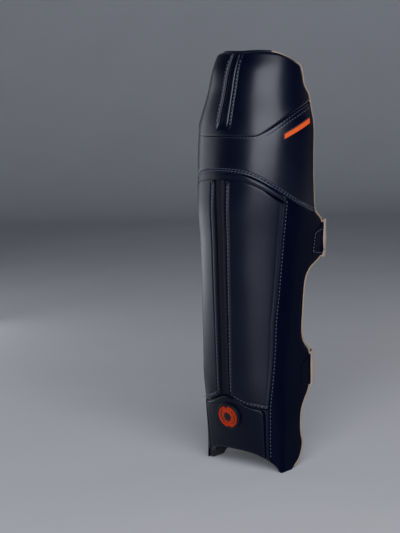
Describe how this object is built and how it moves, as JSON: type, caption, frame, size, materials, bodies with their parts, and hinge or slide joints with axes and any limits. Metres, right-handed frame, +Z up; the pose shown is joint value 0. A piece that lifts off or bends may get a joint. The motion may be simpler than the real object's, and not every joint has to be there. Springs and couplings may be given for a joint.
{
  "type": "leg guard (knee and shin guard)",
  "caption": "Tall leather knee and shin guard: channelled knee cap, padded shin panels, curved wings, two rear straps and a round ankle emblem.",
  "frame": {"origin": "middle of the bounding box's footprint, on the floor that the guard's lower lobes stand on", "axes": "+Z up the leg, -Y out of the front of the shin, +X to the left of the wearer's view of the front, which is the side with the tag"},
  "size_m": [0.1574, 0.1566, 0.5344],
  "materials": {
    "leather": "smooth satin leather, very dark navy",
    "strip_leather": "satin leather, near black navy",
    "lining": "quilted dark textile over foam",
    "edge_piping": "matte tan leather piping",
    "strap": "matte dark navy webbing",
    "emblem_base": "moulded leather, satin",
    "orange": "satin moulded rubber, orange"
  },
  "bodies": {
    "root": {"inner_padding": "lining", "knee_cap": "leather", "knee_band": "leather", "ankle_plate": "leather", "centre_strip": "strip_leather", "shin_panel_left": "leather", "shin_panel_right": "leather", "arch_roll_left": "leather", "arch_roll_right": "leather", "wing_left": "leather", "wing_right": "leather", "edge_piping_left": "edge_piping", "edge_piping_right": "edge_piping", "top_binding": "strip_leather", "upper_strap": "strap", "lower_strap": "strap", "emblem_ring": "emblem_base", "emblem_disc": "orange", "side_tag_base": "emblem_base", "side_tag": "orange"}
  },
  "joints": []
}
